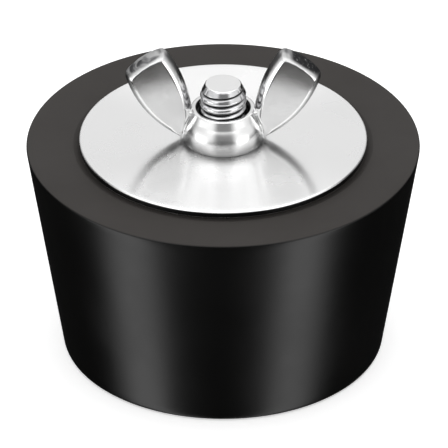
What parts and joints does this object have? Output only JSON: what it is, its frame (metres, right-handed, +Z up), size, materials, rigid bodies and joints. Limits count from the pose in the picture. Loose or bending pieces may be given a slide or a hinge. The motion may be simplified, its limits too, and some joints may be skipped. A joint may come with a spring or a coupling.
{
  "type": "rubber expansion plug",
  "caption": "Tapered rubber pipe plug squeezed between two steel plates by a carriage bolt and wing nut, so that it swells and seals a pipe or fitting.",
  "frame": {"origin": "centre of the rubber body's base, on the surface that the plug stands on", "axes": "+Z up along the bolt towards the wing nut, X along the nut's two wings at rest"},
  "size_m": [0.0538, 0.0538, 0.0459],
  "materials": {
    "rubber": "smooth moulded black rubber, satin",
    "plate_steel": "polished stainless steel sheet",
    "bolt_steel": "bright rolled stainless steel",
    "nut_steel": "polished stainless casting"
  },
  "bodies": {
    "plug": {"rubber_body": "rubber", "bottom_plate": "plate_steel", "carriage_bolt": "bolt_steel"},
    "plate": {"top_plate": "plate_steel"},
    "nut": {"wing_nut": "nut_steel"}
  },
  "joints": [
    {"name": "plate_press", "type": "slide", "parent": "plug", "child": "plate", "axis": [0, 0, -1], "range_m": [0, 0.00413], "deforming": ["rubber_body"]},
    {"name": "nut_turn", "type": "hinge", "parent": "plate", "child": "nut", "pos_m": [0, 0, 0.032], "axis": [0, 0, -1], "range_deg": [0, 1170]}
  ],
  "couplings": [
    {"joint": "plate_press", "follows": "nut_turn", "m_per_rad": 0.00020213}
  ]
}
